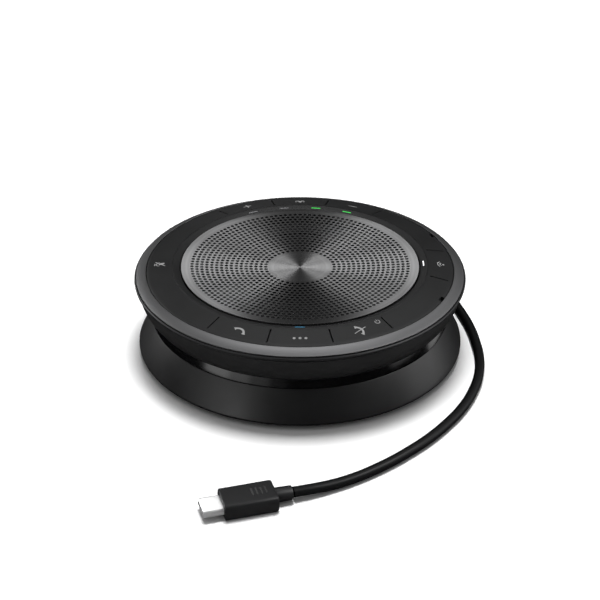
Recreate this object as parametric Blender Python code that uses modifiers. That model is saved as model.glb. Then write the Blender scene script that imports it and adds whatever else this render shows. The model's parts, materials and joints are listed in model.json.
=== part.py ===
"""Conference speakerphone: a round table unit with a captive lead, in metres, +Z up.

The origin is on the table under the middle of the unit. The front is towards -Y.
Radii and heights below are in millimetres; MM turns them into metres.
"""
from math import ceil, cos, radians, sin

import bmesh
import bpy
from mathutils import Matrix, Vector

MM = 0.001

# Overall shape, as radius and height.
HEIGHT = 33.0
LIP_RADIUS = 60.0
RING_STEPS = 48
INNER_STEPS = 24
GAP = 0.3

# Key ring: a shallow cone from the crest down to the metal trim.
CREST_RADIUS = 46.3
KEY_OUTER_RADIUS = 55.5
KEY_EDGE_HEIGHT = 31.26
KEY_UNDERSIDE = 30.1
SWITCH_RADIUS = 50.5

# Keys by the azimuths of their two edges, anticlockwise from +X, in degrees.
FLANK = 11.9
OUTER = 35.6
KEYS = {
    "key_wireless": (-FLANK, FLANK),
    "key_volume_down": (90 - OUTER, 90 - FLANK),
    "key_link": (90 - FLANK, 90 + FLANK),
    "key_volume_up": (90 + FLANK, 90 + OUTER),
    "key_mute": (90 + OUTER, 270 - OUTER),
    "key_answer": (270 - OUTER, 270 - FLANK),
    "key_menu": (270 - FLANK, 270 + FLANK),
    "key_end_call": (270 + FLANK, 270 + OUTER),
}
PANELS = {
    "panel_mic_back": (FLANK, 90 - OUTER),
    "panel_mic_front": (OUTER - 90, -FLANK),
}
MIC_AZIMUTH = 25.65
MIC_RADIUS = 54.7
LIGHTS = {
    "light_power": 0.0,
    "light_call_right": 66.3,
    "light_volume_right": 82.1,
    "light_volume_left": 97.9,
    "light_call_left": 113.7,
    "light_link": 270.0,
}
LIGHT_RADIUS = 44.7
LIGHT_HALF_ARC = 2.4

# Grille: a shallow dish.
GRILLE_RADIUS = 43.05
GRILLE_CENTRE_HEIGHT = 31.0
GRILLE_RISE = 1.34
GRILLE_RISE_RADIUS = 38.94
GRILLE_THICKNESS = 0.8

# Base.
BASE_PLATE = (57.0, 2.4, 4.0)
FOOT_RING_RADIUS = 46.0
FOOT_RADIUS = 7.0
FOOT_HEIGHT = 2.1
SCREW_RING_RADIUS = 46.0
SCREW_HEAD = (2.5, 2.6, 3.4)

# Lead: a captive USB cord out of the back of the waist.
CORD_RADIUS = 1.75
CORD_REST = 1.8
GLAND_X = -18.5
GLAND_Z = 15.65
GLAND_START = 47.5
GLAND_END = 59.6
GLAND_RADIUS = 2.15
COIL_CENTRE = (2.0, 83.0)
COIL_INNER = 12.4
COIL_OUTER = 23.0
COIL_HEIGHT = 7.1
CLIP_AZIMUTH = 20.0
CLIP_WALL = 1.0
CLIP_WIDTH = 6.0
CLIP_ROOM = 0.8

# Plug: where its body's middle lies, and how it is turned.
PLUG_CENTRE = (-16.3, -101.35, 2.9)
PLUG_AZIMUTH = 16.2
PLUG_BODY = (17.7, 10.8, 5.8)
PLUG_SHELL = (6.35, 8.34, 2.56)
PLUG_RELIEF_LENGTH = 5.2

# The lead's route, in millimetres: down behind the unit, then from the coil to the plug.
LEAD_ROUTE = [
    (GLAND_X, GLAND_END + GAP, GLAND_Z),
    (-18.5, 63.5, 15.3),
    (-18.6, 67.3, 13.4),
    (-18.75, 70.6, 11.1),
    (-18.85, 72.9, 9.5),
]
RUN_ROUTE = [
    (24.5, 71.4, CORD_REST),
    (28.6, 66.0, CORD_REST),
    (35.6, 59.4, CORD_REST),
    (44.5, 50.2, CORD_REST),
    (52.3, 39.5, CORD_REST),
    (57.9, 28.5, CORD_REST),
    (61.4, 17.2, CORD_REST),
    (63.8, 6.1, CORD_REST),
    (65.0, -5.2, CORD_REST),
    (65.2, -15.4, CORD_REST),
    (63.85, -26.5, CORD_REST),
    (60.7, -37.4, CORD_REST),
    (55.9, -48.1, CORD_REST),
    (50.1, -57.3, CORD_REST),
    (43.2, -66.2, CORD_REST),
    (36.2, -73.5, CORD_REST),
    (29.6, -79.5, CORD_REST),
    (22.9, -84.7, CORD_REST),
    (16.5, -88.9, 1.85),
    (10.2, -92.3, 2.1),
    (3.9, -95.1, 2.6),
    (-2.21, -97.26, 2.9),
]
ROUTE_SPACING = 4.4

# Colour, roughness and metallic value of each material.
LOOKS = {
    "soft_black": ((0.035, 0.036, 0.038), 0.55, 0.0),
    "matte_black": ((0.022, 0.022, 0.024), 0.5, 0.0),
    "gloss_black": ((0.012, 0.012, 0.013), 0.08, 0.0),
    "brushed_steel": ((0.42, 0.42, 0.43), 0.35, 1.0),
    "grille_metal": ((0.5, 0.5, 0.5), 0.32, 1.0),
    "rubber_black": ((0.02, 0.02, 0.021), 0.75, 0.0),
    "cord_black": ((0.018, 0.018, 0.019), 0.45, 0.0),
    "plug_metal": ((0.72, 0.72, 0.73), 0.22, 1.0),
    "clear_diffuser": ((0.75, 0.78, 0.8), 0.35, 0.0),
    "board_green": ((0.03, 0.12, 0.06), 0.45, 0.0),
    "switch_metal": ((0.6, 0.6, 0.6), 0.35, 1.0),
    "screw_steel": ((0.45, 0.45, 0.47), 0.3, 1.0),
    "cone_paper": ((0.05, 0.05, 0.055), 0.85, 0.0),
    "magnet_steel": ((0.3, 0.3, 0.31), 0.4, 1.0),
    "battery_wrap": ((0.12, 0.2, 0.45), 0.5, 0.0),
}


def clear_scene():
    for item in list(bpy.data.objects):
        bpy.data.objects.remove(item, do_unlink=True)


def new_collection(name):
    group = bpy.data.collections.new(name)
    bpy.context.scene.collection.children.link(group)
    return group


def make_materials():
    made = {}
    for name, (colour, roughness, metallic) in LOOKS.items():
        material = bpy.data.materials.new(name)
        material.use_nodes = True
        shader = material.node_tree.nodes["Principled BSDF"]
        shader.inputs["Base Color"].default_value = (*colour, 1.0)
        shader.inputs["Roughness"].default_value = roughness
        shader.inputs["Metallic"].default_value = metallic
        made[name] = material
    return made


clear_scene()
PARTS = new_collection("conference_speakerphone")
CUTTERS = new_collection("cutters")
MATERIALS = make_materials()


def add_object(name, data, look, group=PARTS):
    item = bpy.data.objects.new(name, data)
    group.objects.link(item)
    if look:
        data.materials.append(MATERIALS[look])
    if group == CUTTERS:
        item.hide_render = True
        item.display_type = "WIRE"
    return item


def turned(name, profile, look, steps=RING_STEPS, group=PARTS):
    """A turned solid. The profile is in (radius, height), clockwise, outer side downwards.

    A profile that starts and ends on the axis is left open there; any other is a closed ring.
    """
    count = len(profile)
    on_axis = profile[0][0] == 0.0
    edges = [(i, i + 1) for i in range(count - 1)]
    if not on_axis:
        edges.append((count - 1, 0))
    mesh = bpy.data.meshes.new(name)
    mesh.from_pydata([(r * MM, 0.0, z * MM) for r, z in profile], edges, [])
    item = add_object(name, mesh, look, group)
    screw = item.modifiers.new("Turn", "SCREW")
    screw.axis = "Z"
    screw.steps = steps
    screw.render_steps = steps
    screw.use_merge_vertices = True
    screw.merge_threshold = 0.00001
    screw.use_smooth_shade = True
    return item


def sector_mesh(name, profile, start, end, pivot=(0.0, 0.0, 0.0)):
    """Part of a turned ring between two azimuths in degrees, kept relative to a pivot in mm."""
    bm = bmesh.new()
    first = Matrix.Rotation(radians(start), 3, "Z")
    verts = [bm.verts.new(first @ Vector((r * MM, 0.0, z * MM))) for r, z in profile]
    face = bm.faces.new(verts)
    steps = max(2, ceil(abs(end - start) / 5.0))
    bmesh.ops.spin(bm, geom=verts + list(face.edges) + [face], cent=(0, 0, 0), axis=(0, 0, 1),
                   angle=radians(end - start), steps=steps)
    bmesh.ops.translate(bm, verts=bm.verts, vec=-Vector(pivot) * MM)
    bmesh.ops.recalc_face_normals(bm, faces=bm.faces)
    mesh = bpy.data.meshes.new(name)
    bm.to_mesh(mesh)
    bm.free()
    return mesh


def box(name, size, centre, look, azimuth=0.0, bevel=0.0, group=PARTS):
    """A box of a size in mm about a centre in mm, turned about Z, with rounded edges."""
    bm = bmesh.new()
    bmesh.ops.create_cube(bm, size=1.0)
    bmesh.ops.scale(bm, vec=Vector(size) * MM, verts=bm.verts)
    mesh = bpy.data.meshes.new(name)
    bm.to_mesh(mesh)
    bm.free()
    item = add_object(name, mesh, look, group)
    item.location = Vector(centre) * MM
    item.rotation_euler = (0.0, 0.0, radians(azimuth))
    if bevel:
        rounding = item.modifiers.new("Rounding", "BEVEL")
        rounding.width = bevel * MM
        rounding.segments = 3
    return item


def cut(item, cutter):
    boolean = item.modifiers.new("Cut", "BOOLEAN")
    boolean.operation = "DIFFERENCE"
    boolean.solver = "EXACT"
    boolean.object = cutter


def polar(radius, azimuth, height):
    return (radius * cos(radians(azimuth)), radius * sin(radians(azimuth)), height)


def arc_points(start, control, end, count):
    """Points on a quadratic curve from start to end, bent towards control."""
    points = []
    for i in range(count + 1):
        t = i / count
        points.append(tuple((1 - t) ** 2 * a + 2 * t * (1 - t) * b + t * t * c
                            for a, b, c in zip(start, control, end)))
    return points


def smooth_route(route, spacing):
    """Evenly spaced points on a Catmull-Rom curve through the route's points."""
    ends = [Vector(route[0]) * 2 - Vector(route[1]), Vector(route[-1]) * 2 - Vector(route[-2])]
    knots = [ends[0]] + [Vector(p) for p in route] + [ends[1]]
    fine = []
    for a, b, c, d in zip(knots, knots[1:], knots[2:], knots[3:]):
        for i in range(20):
            t = i / 20
            fine.append(0.5 * (2 * b + (c - a) * t + (2 * a - 5 * b + 4 * c - d) * t * t
                               + (3 * b - a - 3 * c + d) * t ** 3))
    fine.append(knots[-2])
    travelled = [0.0]
    for before, after in zip(fine, fine[1:]):
        travelled.append(travelled[-1] + (after - before).length)
    count = max(2, round(travelled[-1] / spacing))
    points = []
    index = 0
    for step in range(count + 1):
        target = travelled[-1] * step / count
        while index < len(fine) - 2 and travelled[index + 1] < target:
            index += 1
        share = (target - travelled[index]) / (travelled[index + 1] - travelled[index])
        points.append(fine[index].lerp(fine[index + 1], min(max(share, 0.0), 1.0)))
    return points


def tube(name, route, radius, look):
    data = bpy.data.curves.new(name, "CURVE")
    data.dimensions = "3D"
    data.bevel_depth = radius * MM
    data.bevel_resolution = 2
    data.use_fill_caps = True
    points = smooth_route(route, ROUTE_SPACING)
    spline = data.splines.new("POLY")
    spline.points.add(len(points) - 1)
    for point, place in zip(spline.points, points):
        point.co = (*(place * MM), 1.0)
    return add_object(name, data, look)


def outline(name, loops, half_depth, look):
    """A flat outline in mm, with its holes as further loops, extruded both ways by half_depth."""
    data = bpy.data.curves.new(name, "CURVE")
    data.dimensions = "2D"
    data.fill_mode = "BOTH"
    data.extrude = half_depth * MM
    for loop in loops:
        spline = data.splines.new("POLY")
        spline.points.add(len(loop) - 1)
        for point, (x, y) in zip(spline.points, loop):
            point.co = (x * MM, y * MM, 0.0, 1.0)
        spline.use_cyclic_u = True
    return add_object(name, data, look)


def rounded_rectangle(width, height, radius, steps=5):
    corners = [(1, 1, 0), (-1, 1, 90), (-1, -1, 180), (1, -1, 270)]
    points = []
    for sx, sy, first in corners:
        for i in range(steps + 1):
            angle = radians(first + 90 * i / steps)
            points.append((sx * (width / 2 - radius) + radius * cos(angle),
                           sy * (height / 2 - radius) + radius * sin(angle)))
    return points


def key_height(radius):
    slope = (HEIGHT - KEY_EDGE_HEIGHT) / (KEY_OUTER_RADIUS - CREST_RADIUS)
    return HEIGHT - (radius - CREST_RADIUS) * slope


def grille_height(radius):
    return GRILLE_CENTRE_HEIGHT + GRILLE_RISE * (radius / GRILLE_RISE_RADIUS) ** 2


def make_housings():
    """The fixed outer shells, from the base up."""
    skirt = turned("skirt", [
        (51.0, 13.6), (54.1, 13.6), (56.75, 8.2), (59.3, 3.0), (59.45, 2.6), (59.3, 2.2),
        (57.5, 2.2), (57.5, 4.3), (55.2, 8.4), (52.9, 12.3), (51.0, 12.3)], "matte_black")
    band = turned("neck_band", [
        (51.8, 17.4), (53.4, 17.4), (54.3, 13.9), (51.8, 13.9)], "gloss_black")
    outer = arc_points((59.0, 27.65), (58.4, 21.6), (54.5, 17.7), 8)
    inner = arc_points((52.9, 17.7), (56.6, 21.4), (57.0, 24.9), 5)
    housing = turned("upper_housing",
                     [(57.2, 27.65)] + outer + inner
                     + [(45.0, 25.0), (45.0, 26.5), (57.2, 26.5)], "matte_black")
    hole = turned("gland_hole", [
        (0.0, 12.0), (GLAND_RADIUS + GAP, 12.0), (GLAND_RADIUS + GAP, 0.0), (0.0, 0.0)],
        None, steps=16, group=CUTTERS)
    hole.location = Vector((GLAND_X, GLAND_START, GLAND_Z)) * MM
    hole.rotation_euler = (radians(-90), 0.0, 0.0)
    for shell in (skirt, band, housing):
        cut(shell, hole)
    turned("lip_ring", [
        (57.2, 29.45), (58.2, 29.25), (58.9, 29.05), (59.35, 29.6), (59.7, 29.5), (LIP_RADIUS, 29.1),
        (59.95, 28.6), (59.6, 28.15), (59.1, 27.95), (57.2, 27.95)], "matte_black")
    turned("trim_ring", [
        (55.9, 31.15), (56.1, 31.25), (58.85, 30.02), (59.05, 29.75), (58.9, 29.45), (55.9, 30.3)],
        "brushed_steel")


def make_bezel():
    """The ring inside the keys, which holds the grille, with a slot for each light pipe."""
    bezel = turned("bezel_ring", [
        (43.4, 32.5), (46.0, 32.98), (46.0, 26.8), (40.2, 26.8), (40.2, 31.0), (43.4, 31.0)],
        "soft_black")
    slot = [(LIGHT_RADIUS - 0.45, 34.0), (LIGHT_RADIUS + 0.45, 34.0),
            (LIGHT_RADIUS + 0.45, 31.0), (LIGHT_RADIUS - 0.45, 31.0)]
    pipe = [(LIGHT_RADIUS - 0.35, 32.66), (LIGHT_RADIUS + 0.35, 32.79),
            (LIGHT_RADIUS + 0.35, 31.1), (LIGHT_RADIUS - 0.35, 31.1)]
    for name, azimuth in LIGHTS.items():
        mesh = sector_mesh(name, pipe, azimuth - LIGHT_HALF_ARC, azimuth + LIGHT_HALF_ARC)
        add_object(name, mesh, "clear_diffuser")
        reach = LIGHT_HALF_ARC + 0.13
        mesh = sector_mesh(name + "_slot", slot, azimuth - reach, azimuth + reach)
        cut(bezel, add_object(name + "_slot", mesh, None, CUTTERS))


def make_keys():
    """Eight keys that each travel straight down, and two fixed panels over the microphones."""
    profile = [(CREST_RADIUS, HEIGHT), (KEY_OUTER_RADIUS, KEY_EDGE_HEIGHT),
               (KEY_OUTER_RADIUS, KEY_UNDERSIDE), (CREST_RADIUS, KEY_UNDERSIDE)]
    half_gap = 0.18
    for name, (start, end) in KEYS.items():
        pivot = polar(SWITCH_RADIUS, (start + end) / 2, key_height(SWITCH_RADIUS))
        mesh = sector_mesh(name, profile, start + half_gap, end - half_gap, pivot)
        add_object(name, mesh, "soft_black").location = Vector(pivot) * MM
    for name, (start, end) in PANELS.items():
        panel = add_object(name, sector_mesh(name, profile, start + half_gap, end - half_gap),
                           "soft_black")
        side = 1 if start > 0 else -1
        notch = box(name + "_notch", (2.4, 2.6, 6.0), polar(55.4, side * MIC_AZIMUTH, 31.0), None,
                    azimuth=side * MIC_AZIMUTH, group=CUTTERS)
        cut(panel, notch)


def make_button_board():
    """The ring-shaped board under the keys, its switches and its two microphones."""
    top = 28.0
    turned("button_board", [(46.4, top), (56.6, top), (56.6, 26.8), (46.4, 26.8)], "board_green")
    foot = top + 0.2
    for name, (start, end) in KEYS.items():
        bm = bmesh.new()
        bmesh.ops.create_cube(bm, size=1.0)
        bmesh.ops.scale(bm, vec=(4.2 * MM, 4.2 * MM, 0.9 * MM), verts=bm.verts)
        upper = max(bm.faces, key=lambda face: face.calc_center_median().z)
        bmesh.ops.inset_individual(bm, faces=[upper], thickness=1.2 * MM)
        raised = bmesh.ops.extrude_face_region(bm, geom=[upper])["geom"]
        bmesh.ops.delete(bm, geom=[upper], context="FACES_ONLY")
        bmesh.ops.translate(bm, vec=(0.0, 0.0, 0.5 * MM),
                            verts=[part for part in raised if isinstance(part, bmesh.types.BMVert)])
        bmesh.ops.recalc_face_normals(bm, faces=bm.faces)
        mesh = bpy.data.meshes.new(name)
        bm.to_mesh(mesh)
        bm.free()
        switch = add_object(name.replace("key", "switch"), mesh, "switch_metal")
        switch.location = Vector(polar(SWITCH_RADIUS, (start + end) / 2, foot + 0.45)) * MM
        switch.rotation_euler = (0.0, 0.0, radians((start + end) / 2))
    for name, azimuth in (("microphone_back", MIC_AZIMUTH), ("microphone_front", -MIC_AZIMUTH)):
        capsule = turned(name, [(0.0, foot + 1.2), (1.4, foot + 1.2), (1.4, foot), (0.0, foot)],
                         "switch_metal", steps=16)
        capsule.location = Vector(polar(MIC_RADIUS, azimuth, 0.0)) * MM


def make_grille():
    rim = GRILLE_RADIUS
    radii = [0.0, 12.0, 20.0, 26.0, 31.0, 35.5, 39.5, rim - 0.85]
    top = [(r, grille_height(r)) for r in radii]
    under = [(r, grille_height(r) - GRILLE_THICKNESS) for r in (39.5, 31.0, 20.0, 0.0)]
    turned("grille", top + [(rim, 32.35), (rim, 31.75)] + under, "grille_metal")


def make_speaker():
    """The loudspeaker under the grille: its cone, cap and coil move together."""
    turned("speaker_basket", [
        (36.0, 28.7), (39.8, 28.7), (39.8, 27.4), (34.0, 26.6), (21.5, 17.2), (19.5, 16.0),
        (9.6, 16.0), (9.6, 17.2), (19.0, 17.2), (33.0, 27.6), (36.0, 27.8)],
        "magnet_steel", INNER_STEPS)
    turned("speaker_surround", [
        (31.0, 29.0), (32.0, 29.5), (33.6, 29.75), (35.2, 29.5), (36.2, 29.0), (34.5, 28.9),
        (33.6, 29.1), (32.6, 28.9)], "rubber_black", INNER_STEPS)
    turned("speaker_cone", [
        (8.4, 21.2), (30.6, 28.3), (30.6, 27.7), (8.4, 20.5)], "cone_paper", INNER_STEPS)
    turned("dust_cap", [
        (0.0, 23.2), (4.0, 22.9), (7.0, 22.0), (8.0, 21.2), (7.6, 20.9), (4.0, 22.2), (0.0, 22.5)],
        "cone_paper", INNER_STEPS)
    turned("voice_coil", [(7.6, 20.2), (8.2, 20.2), (8.2, 17.0), (7.6, 17.0)], "switch_metal",
           INNER_STEPS)
    turned("speaker_magnet", [(0.0, 15.7), (17.0, 15.7), (17.0, 9.2), (0.0, 9.2)],
           "magnet_steel", INNER_STEPS)


def make_base():
    """Base plate on four rubber feet, four screws, the main board and the battery."""
    radius, low, high = BASE_PLATE
    plate = turned("base_plate", [(0.0, high), (radius, high), (radius, low), (0.0, low)],
                   "matte_black")
    head_radius, head_low, head_high = SCREW_HEAD
    for index in range(4):
        foot_azimuth = 45 + 90 * index
        foot = turned("foot_pad_%d" % (index + 1), [
            (0.0, FOOT_HEIGHT), (FOOT_RADIUS, FOOT_HEIGHT), (FOOT_RADIUS, 0.5),
            (FOOT_RADIUS - 0.5, 0.0), (0.0, 0.0)], "rubber_black", steps=24)
        foot.location = Vector(polar(FOOT_RING_RADIUS, foot_azimuth, 0.0)) * MM
        place = Vector(polar(SCREW_RING_RADIUS, 90 * index, 0.0)) * MM
        screw = turned("base_screw_%d" % (index + 1), [
            (0.0, 4.9), (1.2, 4.9), (1.2, head_high), (head_radius, head_high),
            (head_radius, head_low), (0.0, head_low)], "screw_steel", steps=16)
        screw.location = place
        bore = turned("screw_bore_%d" % (index + 1), [
            (0.0, 6.0), (1.5, 6.0), (1.5, head_high + GAP), (head_radius + GAP, head_high + GAP),
            (head_radius + GAP, 0.0), (0.0, 0.0)], None, steps=16, group=CUTTERS)
        bore.location = place
        cut(plate, bore)
    turned("main_board", [(0.0, 6.6), (50.0, 6.6), (50.0, 5.2), (0.0, 5.2)], "board_green",
           INNER_STEPS)
    box("battery", (20.0, 44.0, 5.6), (32.0, 0.0, 9.8), "battery_wrap", bevel=0.8)


def make_cord():
    """The captive lead: its strain relief, the tube, the coil it is stored in, and the clip."""
    length = GLAND_END - GLAND_START
    gland = turned("cord_gland", [
        (0.0, length), (2.0, length), (GLAND_RADIUS, length - 1.0), (GLAND_RADIUS, 0.0), (0.0, 0.0)],
        "rubber_black", steps=16)
    gland.location = Vector((GLAND_X, GLAND_START, GLAND_Z)) * MM
    gland.rotation_euler = (radians(-90), 0.0, 0.0)
    tube("cord_lead", LEAD_ROUTE, CORD_RADIUS, "cord_black")
    coil = turned("cord_coil", [
        (COIL_INNER + 1.2, COIL_HEIGHT), (COIL_OUTER - 1.2, COIL_HEIGHT), (COIL_OUTER, COIL_HEIGHT - 1.2),
        (COIL_OUTER, 1.25), (COIL_OUTER - 1.2, 0.05), (COIL_INNER + 1.2, 0.05),
        (COIL_INNER, 1.25), (COIL_INNER, COIL_HEIGHT - 1.2)], "cord_black", steps=40)
    coil.location = Vector((*COIL_CENTRE, 0.0)) * MM
    tube("cord_run", RUN_ROUTE, CORD_RADIUS, "cord_black")
    half = (COIL_OUTER - COIL_INNER) / 2 + CLIP_ROOM
    top = COIL_HEIGHT + GAP
    reach = half + CLIP_WALL
    clip = outline("cord_clip", [[
        (-reach, 0.2), (-half, 0.2), (-half, top), (half, top), (half, 0.2), (reach, 0.2),
        (reach, top + CLIP_WALL), (-reach, top + CLIP_WALL)]], CLIP_WIDTH / 2, "rubber_black")
    middle = (COIL_OUTER + COIL_INNER) / 2
    place = polar(middle, CLIP_AZIMUTH, 0.0)
    clip.location = Vector((COIL_CENTRE[0] + place[0], COIL_CENTRE[1] + place[1], 0.0)) * MM
    clip.rotation_euler = (radians(90), 0.0, radians(CLIP_AZIMUTH))


def make_plug():
    """The plug on the table, on an empty that gives its place and turn. It points away along -X."""
    holder = bpy.data.objects.new("plug_place", None)
    PARTS.objects.link(holder)
    holder.location = Vector(PLUG_CENTRE) * MM
    holder.rotation_euler = (0.0, 0.0, radians(PLUG_AZIMUTH))
    length = PLUG_BODY[0]
    body = box("plug_body", PLUG_BODY, (0.0, 0.0, 0.0), "matte_black", bevel=1.3)
    body.parent = holder
    shell_length, width, height = PLUG_SHELL
    front = -length / 2 - GAP - shell_length / 2
    shell = outline("plug_shell", [rounded_rectangle(width, height, 1.25),
                                   rounded_rectangle(width - 0.9, height - 0.9, 0.8)],
                    shell_length / 2, "plug_metal")
    shell.parent = holder
    shell.location = (front * MM, 0.0, 0.0)
    shell.rotation_euler = (radians(90), 0.0, radians(90))
    insert_length = 1.6
    insert = box("plug_insert", (insert_length, width - 1.9, height - 1.5),
                 (-length / 2 - GAP - insert_length / 2, 0.0, 0.0), "matte_black")
    insert.parent = holder
    relief = turned("plug_relief", [
        (0.0, PLUG_RELIEF_LENGTH), (2.35, PLUG_RELIEF_LENGTH), (2.5, 0.0), (0.0, 0.0)],
        "matte_black", steps=16)
    relief.parent = holder
    relief.location = ((length / 2 + GAP) * MM, 0.0, 0.0)
    relief.rotation_euler = (0.0, radians(90), 0.0)


make_housings()
make_bezel()
make_keys()
make_button_board()
make_grille()
make_speaker()
make_base()
make_cord()
make_plug()
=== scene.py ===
import json
from math import ceil, cos, degrees, hypot, pi, radians, sin, sqrt, tan

import bmesh
import bpy
from mathutils import Matrix, Vector
from mathutils.geometry import delaunay_2d_cdt


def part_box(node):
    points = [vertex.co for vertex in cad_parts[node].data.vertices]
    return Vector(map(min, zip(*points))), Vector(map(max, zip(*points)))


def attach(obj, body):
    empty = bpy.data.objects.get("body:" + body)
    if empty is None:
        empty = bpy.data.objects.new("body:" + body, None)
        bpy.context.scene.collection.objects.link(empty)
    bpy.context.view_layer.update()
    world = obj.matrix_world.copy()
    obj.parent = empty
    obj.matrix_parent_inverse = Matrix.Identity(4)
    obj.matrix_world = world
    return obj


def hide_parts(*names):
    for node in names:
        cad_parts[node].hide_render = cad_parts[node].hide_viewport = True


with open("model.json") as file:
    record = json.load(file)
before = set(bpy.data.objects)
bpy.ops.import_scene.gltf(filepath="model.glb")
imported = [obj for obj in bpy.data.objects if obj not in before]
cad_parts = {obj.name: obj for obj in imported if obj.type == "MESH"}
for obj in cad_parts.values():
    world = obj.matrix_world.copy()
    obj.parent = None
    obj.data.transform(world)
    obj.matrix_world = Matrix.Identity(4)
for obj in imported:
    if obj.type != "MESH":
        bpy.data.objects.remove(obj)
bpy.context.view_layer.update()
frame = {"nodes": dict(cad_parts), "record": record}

# Places and sizes are in millimetres and MM turns them into metres. The origin is on the table
# under the middle of the unit, +Z is up and the front is towards -Y.
MM = 0.001
FINE_STEPS = 192
SHARP_ANGLE = 32.0
WELD_DISTANCE = 0.000001
CUTTER_TOP = 34.0

CAMERA_PLACE = (0.0, -0.50325, 0.30915)
CAMERA_TILT = 59.879
CAMERA_LENS = 95.13

HEIGHT = 33.0
CREST_RADIUS = 46.3
KEY_OUTER_RADIUS = 55.5
KEY_EDGE_HEIGHT = 31.26
KEY_UNDERSIDE = 30.1
KEY_SLOPE = (HEIGHT - KEY_EDGE_HEIGHT) / (KEY_OUTER_RADIUS - CREST_RADIUS)

FLANK = 11.9
OUTER = 35.6
KEYS = {
    "key_wireless": (-FLANK, FLANK),
    "key_volume_down": (90 - OUTER, 90 - FLANK),
    "key_link": (90 - FLANK, 90 + FLANK),
    "key_volume_up": (90 + FLANK, 90 + OUTER),
    "key_mute": (90 + OUTER, 270 - OUTER),
    "key_answer": (270 - OUTER, 270 - FLANK),
    "key_menu": (270 - FLANK, 270 + FLANK),
    "key_end_call": (270 + FLANK, 270 + OUTER),
}
PANELS = {
    "panel_mic_back": (FLANK, 90 - OUTER),
    "panel_mic_front": (OUTER - 90, -FLANK),
}
MIC_AZIMUTH = 25.65
MIC_NOTCH_RADIUS = 54.8
MIC_NOTCH_HALF_WIDTH = 1.35
BEZEL_INNER_RADIUS = 43.55
BEZEL_INNER_HEIGHT = 32.2
BEZEL_UNDERSIDE = 31.0
LIGHT_RADIUS = 44.7
LIGHT_HALF_ARC = 2.2
LIGHTS = {
    "light_power": (0.0, (1.0, 1.0, 1.0), 1.3),
    "light_call_right": (66.3, (0.05, 0.62, 0.09), 0.8),
    "light_volume_right": (82.1, (0.05, 0.62, 0.09), 0.8),
    "light_volume_left": (97.9, (0.28, 0.28, 0.29), 0.0),
    "light_call_left": (113.7, (0.28, 0.28, 0.29), 0.0),
    "light_link": (270.0, (0.06, 0.36, 0.62), 0.8),
}

# Printed signs: how far they stand proud, how much more each further outline does, and how far
# they reach into the key.
PRINT_HEIGHT = 0.012
PRINT_LAYER_STEP = 0.004
PRINT_ROOT = 0.05

# Grille: rings of holes, ring k having 6 k of them, on a shallow dish.
GRILLE_CENTRE_HEIGHT = 31.0
GRILLE_RISE = 1.34
GRILLE_RISE_RADIUS = 38.94
GRILLE_THICKNESS = 0.12
GRILLE_RADIUS = 43.05
GRILLE_RIM_WIDTH = 0.75
GRILLE_SHARP_ANGLE = 25.0
GRILLE_WELD_DISTANCE = 0.000003
LOOP_TOLERANCE = 0.000002
HOLE_PITCH = 1.776
HOLE_RADIUS = 0.68
HOLE_SIDES = 12
FIRST_RING = 7
LAST_RING = 22
HOLE_MARGIN = 0.75

# Lead. Points of RUN_ROUTE from (65.0, -5.2) to (3.9, -95.1) began as the output of a program that
# traced the cord in the photo, and six are still exactly that.
CORD_DIAMETER = 3.5
CORD_REST = 1.8
GLAND_X = -18.5
GLAND_Z = 15.65
GLAND_START = 47.5
GLAND_END = 59.6
COIL_CENTRE = (2.0, 83.0)
COIL_RADII = (21.2, 14.2)
COIL_LAYER_TURNS = 2.0
COIL_DROP_TURNS = 0.5
COIL_POINTS_PER_TURN = 24
CLIP_AZIMUTH = 20.0
CLIP_RADIUS = 17.7
LEAD_ROUTE = [
    (GLAND_X, GLAND_END + 0.3, GLAND_Z),
    (-18.5, 63.5, 15.3),
    (-18.6, 67.3, 13.4),
    (-18.75, 70.6, 11.1),
    (-18.85, 72.9, 9.5),
    (-19.0, 76.2, 7.4),
    (-19.13, 79.6, 5.8),
]
RUN_ROUTE = [
    (24.5, 71.4, CORD_REST),
    (28.6, 66.0, CORD_REST),
    (35.6, 59.4, CORD_REST),
    (44.5, 50.2, CORD_REST),
    (52.3, 39.5, CORD_REST),
    (57.9, 28.5, CORD_REST),
    (61.4, 17.2, CORD_REST),
    (63.8, 6.1, CORD_REST),
    (65.0, -5.2, CORD_REST),
    (65.2, -15.4, CORD_REST),
    (63.85, -26.5, CORD_REST),
    (60.7, -37.4, CORD_REST),
    (55.9, -48.1, CORD_REST),
    (50.1, -57.3, CORD_REST),
    (43.2, -66.2, CORD_REST),
    (36.2, -73.5, CORD_REST),
    (29.6, -79.5, CORD_REST),
    (22.9, -84.7, CORD_REST),
    (16.5, -88.9, 1.85),
    (10.2, -92.3, 2.1),
    (3.9, -95.1, 2.6),
    (-2.21, -97.26, 2.9),
]

PLUG_CENTRE = (-16.3, -101.35, 2.9)
PLUG_AZIMUTH = 16.2
PLUG_BODY = (17.7, 10.8, 5.8)
PLUG_SHELL = (6.35, 8.34, 2.56)
PLUG_RELIEF_LENGTH = 5.2
RIB_COUNT = 4
RIB_START = 1.2
RIB_PITCH = 1.5
RIB_HALF_WIDTH = 0.3
RIB_HALF_LENGTH = 1.9
RIB_SUNK = 0.12
RIB_HEIGHT = 0.2

BODY_MIDDLE = (0.0, 0.0, 0.02)
FLOOR_HALF_SIZE = 3.0
WORLD_STRENGTH = 0.005
LIGHT_DISTANCE = 0.8


# ---------------------------------------------------------------- materials

def shader_of(name, colour, roughness, metallic=0.0):
    material = bpy.data.materials.new(name)
    material.use_nodes = True
    nodes = material.node_tree.nodes
    shader = nodes["Principled BSDF"]
    shader.inputs["Base Color"].default_value = (*colour, 1.0)
    shader.inputs["Roughness"].default_value = roughness
    shader.inputs["Metallic"].default_value = metallic
    return material, nodes, material.node_tree.links, shader


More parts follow.
